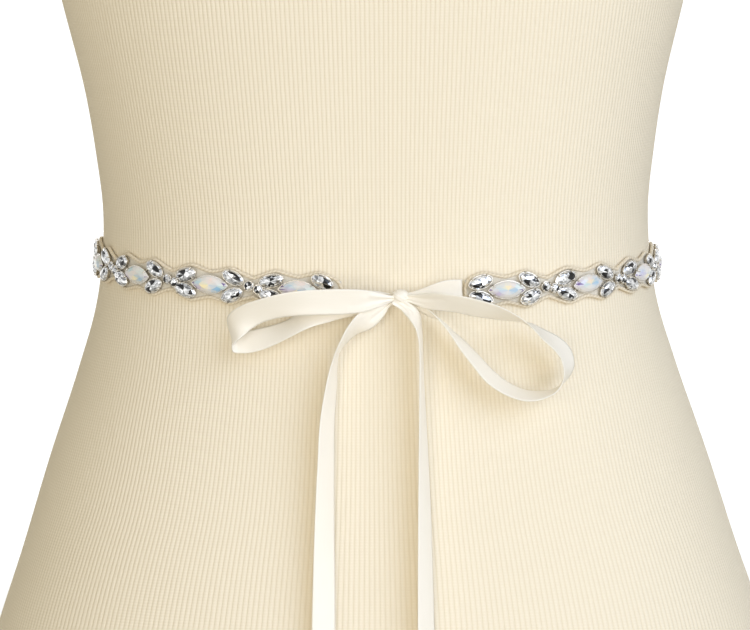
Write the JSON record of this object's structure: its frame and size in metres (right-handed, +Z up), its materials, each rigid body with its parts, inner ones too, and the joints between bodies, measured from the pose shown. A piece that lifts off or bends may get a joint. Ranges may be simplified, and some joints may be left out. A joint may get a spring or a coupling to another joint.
{
  "type": "bridal sash on a dress form",
  "caption": "Narrow bridal sash of claw-set stones on a scalloped net strip, tied with a satin ribbon bow at the back of a limbless dress form.",
  "frame": {"origin": "middle of the dress form's flat underside", "axes": "+Z up the form; the bow and the back of the form face -Y; +X is to the right as seen from behind"},
  "size_m": [0.3366, 0.2471, 0.75],
  "materials": {
    "jersey": "fine ribbed knit, matt",
    "net": "fine translucent net",
    "cord": "corded thread edge",
    "satin": "satin with a soft sheen",
    "silver": "polished silver-plated claw settings",
    "crystal": "foiled clear facetted stones",
    "opal": "milky opal facetted stones"
  },
  "bodies": {
    "root": {"dress_form": "jersey", "sash_backing": "net", "ribbon_end_left": "satin", "ribbon_end_right": "satin", "bow_loop_left": "satin", "bow_loop_right": "satin", "bow_knot": "satin", "ribbon_tail_left": "satin", "ribbon_tail_right": "satin", "motif_01": "crystal", "motif_02": "crystal", "motif_03": "crystal", "motif_04": "crystal", "motif_05": "crystal", "motif_06": "crystal", "motif_07": "crystal", "motif_08": "crystal", "motif_09": "crystal", "motif_10": "crystal", "motif_11": "crystal", "motif_12": "crystal", "motif_13": "crystal", "motif_14": "crystal", "motif_15": "crystal", "motif_16": "crystal", "motif_17": "crystal"}
  },
  "joints": []
}
